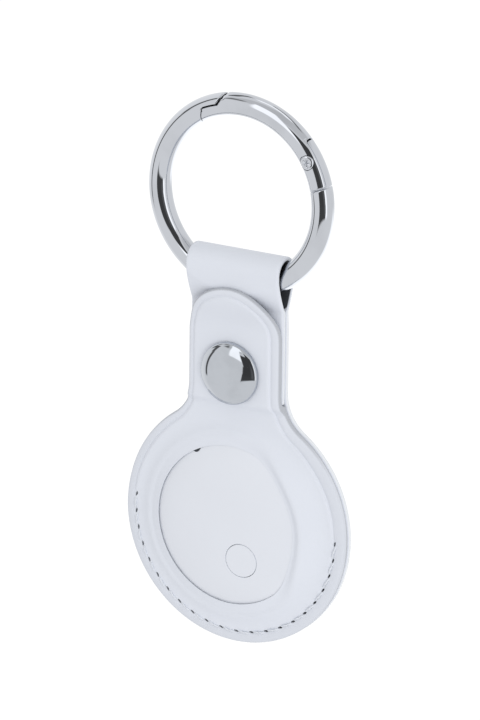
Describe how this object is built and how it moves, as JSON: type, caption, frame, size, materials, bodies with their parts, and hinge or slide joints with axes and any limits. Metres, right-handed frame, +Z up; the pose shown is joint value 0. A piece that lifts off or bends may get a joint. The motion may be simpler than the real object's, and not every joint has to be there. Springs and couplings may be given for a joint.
{
  "type": "tracker tag holder",
  "caption": "Leather key ring pouch for a round tracker tag, with a window, a snap-closed strap and a spring gate ring.",
  "frame": {"origin": "top of the ring's inner hole, where it hangs on a hook or a key ring, midway through the ring's thickness", "axes": "+Z up along the strap towards the ring, +Y out of the holder's back, -Y out of its front window, +X to the right seen from the front"},
  "size_m": [0.0432, 0.0101, 0.0973],
  "materials": {
    "ring_metal": "bright nickel plate on zinc alloy",
    "snap_metal": "bright nickel plate on pressed sheet",
    "spring_steel": "drawn wire",
    "leather_face": "smooth white coated leather, fine grain",
    "leather_lining": "dark grey suede-like lining",
    "thread": "waxed white polyester thread",
    "tag_shell": "polished white",
    "tag_cover_steel": "polished stainless steel",
    "seal_rubber": "moulded",
    "board": "glass fibre circuit board",
    "black_plastic": "moulded",
    "tray_plastic": "moulded",
    "battery_steel": "nickel-plated can",
    "contact_brass": "gold flashed"
  },
  "bodies": {
    "ring": {"ring_body": "ring_metal", "gate_hinge_pin": "ring_metal"},
    "gate": {"ring_gate": "ring_metal", "gate_plunger": "spring_steel", "gate_spring": "spring_steel"},
    "loop": {"strap_loop": "leather_face", "strap_loop_lining": "leather_lining"},
    "holder": {"back_panel": "leather_face", "back_lining": "leather_lining", "front_panel": "leather_face", "front_lining": "leather_lining", "strap_end": "leather_face", "strap_end_lining": "leather_lining", "snap_stud": "snap_metal", "snap_post": "snap_metal", "stitching_front": "thread", "stitching_back": "thread"},
    "tongue": {"front_tongue": "leather_face", "tongue_lining": "leather_lining", "snap_cap": "snap_metal", "snap_socket": "snap_metal", "snap_clasp_spring": "spring_steel"},
    "tag": {"tag_front_shell": "tag_shell", "tag_back_cover": "tag_cover_steel", "tag_seal": "seal_rubber", "tag_circuit_board": "board", "tag_button_switch": "black_plastic", "tag_sounder": "contact_brass", "tag_radio_chip": "black_plastic", "tag_battery_tray": "tray_plastic", "tag_battery": "battery_steel", "tag_front_contact": "contact_brass", "tag_back_contact": "contact_brass"},
    "button": {"tag_button": "tag_shell"}
  },
  "joints": [
    {"name": "gate_open", "type": "hinge", "parent": "ring", "child": "gate", "pos_m": [0.01354, 0, -0.00571], "axis": [0, -1, 0], "range_deg": [0, 28], "stiffness_Nm_per_rad": 0.02},
    {"name": "ring_turn", "type": "hinge", "parent": "ring", "child": "loop", "pos_m": [0, 0, -0.01385], "axis": [0, 1, 0], "range_deg": [-50, 85]},
    {"name": "strap_bend", "type": "hinge", "parent": "loop", "child": "holder", "pos_m": [0, 0.00128, -0.03305], "axis": [1, 0, 0], "range_deg": [0, 75]},
    {"name": "tongue_open", "type": "hinge", "parent": "holder", "child": "tongue", "pos_m": [0, -0.00128, -0.05145], "axis": [1, 0, 0], "range_deg": [0, 75]},
    {"name": "tag_turn", "type": "hinge", "parent": "holder", "child": "tag", "pos_m": [0, 0, -0.07185], "axis": [0, 1, 0], "continuous": true},
    {"name": "button_press", "type": "slide", "parent": "tag", "child": "button", "axis": [0, 1, 0], "range_m": [0, 0.0003], "stiffness_N_per_m": 800}
  ]
}
